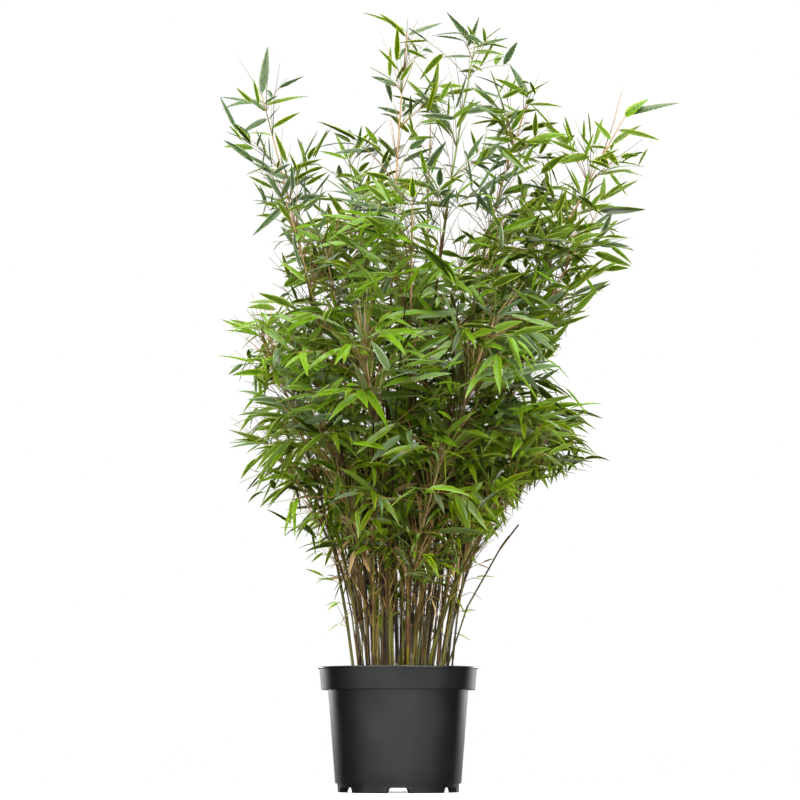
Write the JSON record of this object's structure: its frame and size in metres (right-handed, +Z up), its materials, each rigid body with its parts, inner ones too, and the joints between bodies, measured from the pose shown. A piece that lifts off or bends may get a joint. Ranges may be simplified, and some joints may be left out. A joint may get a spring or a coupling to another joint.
{
  "type": "potted bamboo plant",
  "caption": "Clump of leafy bamboo canes fanning out of a round black nursery pot with a banded rim.",
  "frame": {"origin": "on the floor, under the middle of the whole plant's box; the pot's axis is off to -X, because the crown leans to +X", "axes": "+Z up along the pot's axis; +Y runs away from the viewer who faces the front; +X to that viewer's right"},
  "size_m": [0.8314, 0.6364, 1.378],
  "materials": {
    "pot": "satin moulded black plastic",
    "compost": "damp brown potting compost with bark",
    "culms": "smooth olive-green cane with tan sheaths",
    "foliage": "satin green leaves on thin twigs"
  },
  "bodies": {
    "root": {"compost": "compost", "culm_lower_1": "culms", "culm_lower_2": "culms", "culm_lower_3": "culms", "culm_lower_4": "culms", "culm_lower_5": "culms", "culm_lower_6": "culms", "culm_lower_7": "culms", "culm_middle_1": "culms", "culm_middle_2": "culms", "culm_middle_3": "culms", "culm_middle_4": "culms", "culm_middle_5": "culms", "culm_middle_6": "culms", "culm_middle_7": "culms", "culm_plume_centre_back": "culms", "culm_plume_centre_left": "culms", "culm_plume_centre_right": "culms", "culm_plume_inner_left": "culms", "culm_plume_left": "culms", "culm_plume_left_low": "culms", "culm_plume_right": "culms", "culm_plume_right_low": "culms", "culm_plume_right_of_centre": "culms", "culm_upper_1": "culms", "culm_upper_2": "culms", "culm_upper_3": "culms", "culm_upper_4": "culms", "culm_upper_5": "culms", "foliage_lower_1": "foliage", "foliage_lower_2": "foliage", "foliage_lower_3": "foliage", "foliage_lower_4": "foliage", "foliage_lower_5": "foliage", "foliage_lower_6": "foliage", "foliage_lower_7": "foliage", "foliage_middle_1": "foliage", "foliage_middle_2": "foliage", "foliage_middle_3": "foliage", "foliage_middle_4": "foliage", "foliage_middle_5": "foliage", "foliage_middle_6": "foliage", "foliage_middle_7": "foliage", "foliage_plume_centre_back": "foliage", "foliage_plume_centre_left": "foliage", "foliage_plume_centre_right": "foliage", "foliage_plume_inner_left": "foliage", "foliage_plume_left": "foliage", "foliage_plume_left_low": "foliage", "foliage_plume_right": "foliage", "foliage_plume_right_low": "foliage", "foliage_plume_right_of_centre": "foliage", "foliage_upper_1": "foliage", "foliage_upper_2": "foliage", "foliage_upper_3": "foliage", "foliage_upper_4": "foliage", "foliage_upper_5": "foliage", "pot": "pot", "thin_culm_1": "culms", "thin_culm_2": "culms"}
  },
  "joints": []
}
